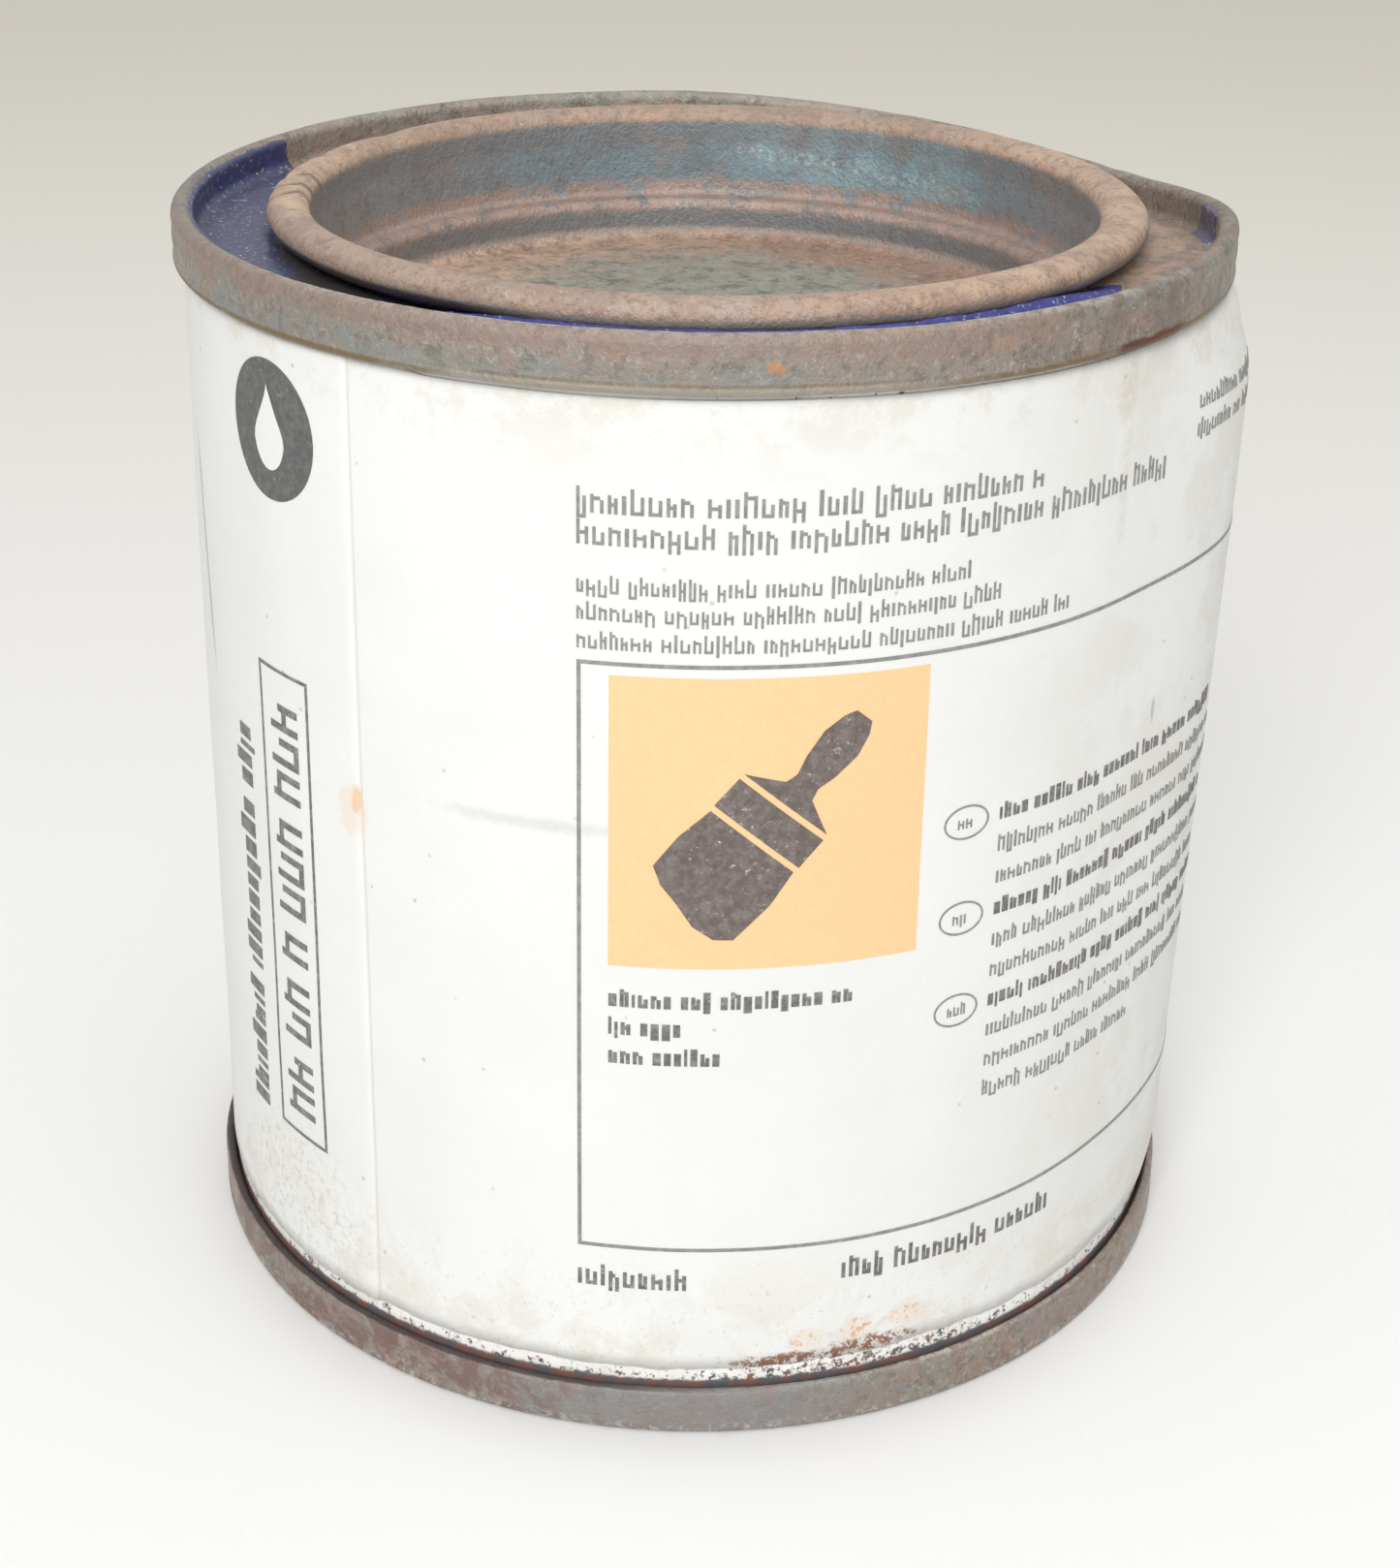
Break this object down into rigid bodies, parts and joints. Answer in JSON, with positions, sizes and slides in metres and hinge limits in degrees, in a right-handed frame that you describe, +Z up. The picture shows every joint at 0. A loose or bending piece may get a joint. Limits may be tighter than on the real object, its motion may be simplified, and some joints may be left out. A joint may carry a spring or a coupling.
{
  "type": "paint can",
  "caption": "Small round lever-lid paint can with seamed ends, a press-in lid that lifts off, a wrapped label and dried paint in the rim channel.",
  "frame": {"origin": "centre of the base, on the surface that the can stands on", "axes": "+Z up the can's axis, -Y towards the front of the label, +X to the right of someone who faces the label"},
  "size_m": [0.0886, 0.0886, 0.0932],
  "materials": {
    "body_plate": "white lacquered tinplate, worn at the ends",
    "tinplate": "dull tinplate with thin rust",
    "lid_plate": "dull tinplate, rusted most on the curl",
    "seam_compound": "dull",
    "label_paper": "matt paper, stained and scuffed",
    "dried_paint": "dried indigo paint"
  },
  "bodies": {
    "can": {"can_body": "body_plate", "bottom_end": "tinplate", "top_ring": "tinplate", "bottom_seam_compound": "seam_compound", "top_seam_compound": "seam_compound", "label": "label_paper", "paint_residue": "dried_paint", "channel_paint_left": "dried_paint", "channel_paint_right": "dried_paint"},
    "lid": {"lid": "lid_plate"}
  },
  "joints": [
    {"name": "lid_lift", "type": "slide", "parent": "can", "child": "lid", "axis": [0, 0, 1], "range_m": [0, 0.05]}
  ]
}
